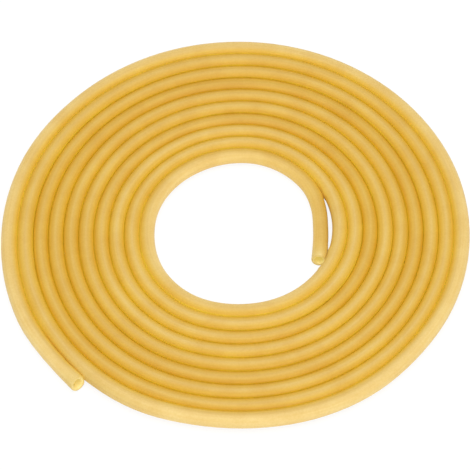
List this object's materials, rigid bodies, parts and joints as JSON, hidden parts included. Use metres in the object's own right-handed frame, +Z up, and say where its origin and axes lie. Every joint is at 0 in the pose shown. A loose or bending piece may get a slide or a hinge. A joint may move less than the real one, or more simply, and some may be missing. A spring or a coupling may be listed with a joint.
{
  "type": "rubber tubing coil",
  "caption": "Length of soft amber rubber laboratory tubing with a plain round bore, wound flat in a single-layer spiral coil with an open middle and both ends cut square.",
  "frame": {"origin": "on the surface the coil lies on, under the middle of its outline", "axes": "+Z up, across the flat coil; the inner end lies on the +X side, and the outer end on the -X, -Y side"},
  "size_m": [0.2459, 0.2424, 0.008],
  "materials": {
    "latex_rubber": "satin, translucent amber natural rubber"
  },
  "bodies": {
    "root": {"rubber_tube": "latex_rubber"}
  },
  "joints": []
}
